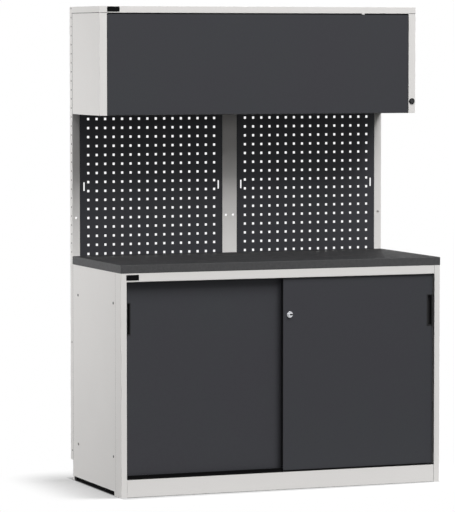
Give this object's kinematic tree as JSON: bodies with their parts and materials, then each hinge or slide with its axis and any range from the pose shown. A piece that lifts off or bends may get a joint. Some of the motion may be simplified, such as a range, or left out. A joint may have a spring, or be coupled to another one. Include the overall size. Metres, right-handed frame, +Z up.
{
  "type": "workbench cabinet",
  "caption": "Workshop bench: sliding-door base cabinet with a worktop, square-hole perforated back panels between uprights, and a lift-up upper cabinet.",
  "frame": {"origin": "on the floor, in the middle of the footprint of the whole bench", "axes": "+X to the right along the bench seen from the front, +Y from the front to the back, +Z up"},
  "size_m": [1.424, 0.64, 2],
  "materials": {
    "light_paint": "light grey powder coat",
    "dark_paint": "anthracite powder coat",
    "worktop_board": "board with a dark grey matt laminate",
    "black_steel": "black coat",
    "zinc_steel": "zinc plated",
    "nylon": "natural nylon",
    "black_plastic": "fine grained black plastic",
    "rubber": "matt black rubber",
    "chrome": "polished chrome"
  },
  "bodies": {
    "bench": {"base_post_left": "light_paint", "base_post_right": "light_paint", "base_side_left": "light_paint", "base_side_right": "light_paint", "base_back": "light_paint", "base_bottom": "light_paint", "base_plinth": "light_paint", "base_top_rail": "light_paint", "base_rear_rail": "light_paint", "door_bottom_track": "black_steel", "door_top_track": "zinc_steel", "door_buffers": "rubber", "shelf": "light_paint", "shelf_clips": "zinc_steel", "worktop": "worktop_board", "upright_left": "light_paint", "upright_centre": "light_paint", "upright_right": "light_paint", "panel_left": "dark_paint", "panel_right": "dark_paint", "upper_side_left": "light_paint", "upper_side_right": "light_paint", "upper_top": "light_paint", "upper_bottom": "light_paint", "upper_back": "light_paint", "flap_hinge_pins": "zinc_steel", "stay_posts": "zinc_steel", "flap_buffers": "rubber", "cam_lock_body": "black_plastic"},
    "left_door": {"left_door": "dark_paint", "left_grip": "black_plastic", "left_shoes": "nylon", "left_guides": "nylon", "lock_strike": "zinc_steel"},
    "right_door": {"right_door": "dark_paint", "right_grip": "black_plastic", "right_shoes": "nylon", "right_guides": "nylon", "push_lock_body": "chrome"},
    "push_lock": {"push_lock_plunger": "chrome"},
    "flap": {"flap_door": "dark_paint", "stay_brackets": "zinc_steel"},
    "stay_left": {"stay_bar_left": "zinc_steel"},
    "stay_right": {"stay_bar_right": "zinc_steel"},
    "cam_lock": {"cam_lock_plug": "black_plastic", "cam_lock_cam": "zinc_steel"}
  },
  "joints": [
    {"name": "left_door_slide", "type": "slide", "parent": "bench", "child": "left_door", "axis": [1, 0, 0], "range_m": [0, 0.626]},
    {"name": "right_door_slide", "type": "slide", "parent": "bench", "child": "right_door", "axis": [1, 0, 0], "range_m": [-0.686, 0]},
    {"name": "push_lock_press", "type": "slide", "parent": "right_door", "child": "push_lock", "axis": [0, 1, 0], "range_m": [0, 0.008]},
    {"name": "flap_hinge", "type": "hinge", "parent": "bench", "child": "flap", "pos_m": [0, -0.058, 1.961], "axis": [-1, 0, 0], "range_deg": [0, 90]},
    {"name": "stay_left_pivot", "type": "hinge", "parent": "flap", "child": "stay_left", "pos_m": [-0.667, -0.032, 1.79098], "axis": [-1, 0, 0], "range_deg": [-45, 0]},
    {"name": "stay_right_pivot", "type": "hinge", "parent": "flap", "child": "stay_right", "pos_m": [0.667, -0.032, 1.79098], "axis": [-1, 0, 0], "range_deg": [-45, 0]},
    {"name": "cam_lock_turn", "type": "hinge", "parent": "bench", "child": "cam_lock", "pos_m": [0.6955, -0.06, 1.601], "axis": [0, -1, 0], "range_deg": [0, 90]}
  ],
  "couplings": [
    {"joint": "stay_left_pivot", "follows": "flap_hinge", "ratio": -0.5},
    {"joint": "stay_right_pivot", "follows": "flap_hinge", "ratio": -0.5}
  ]
}
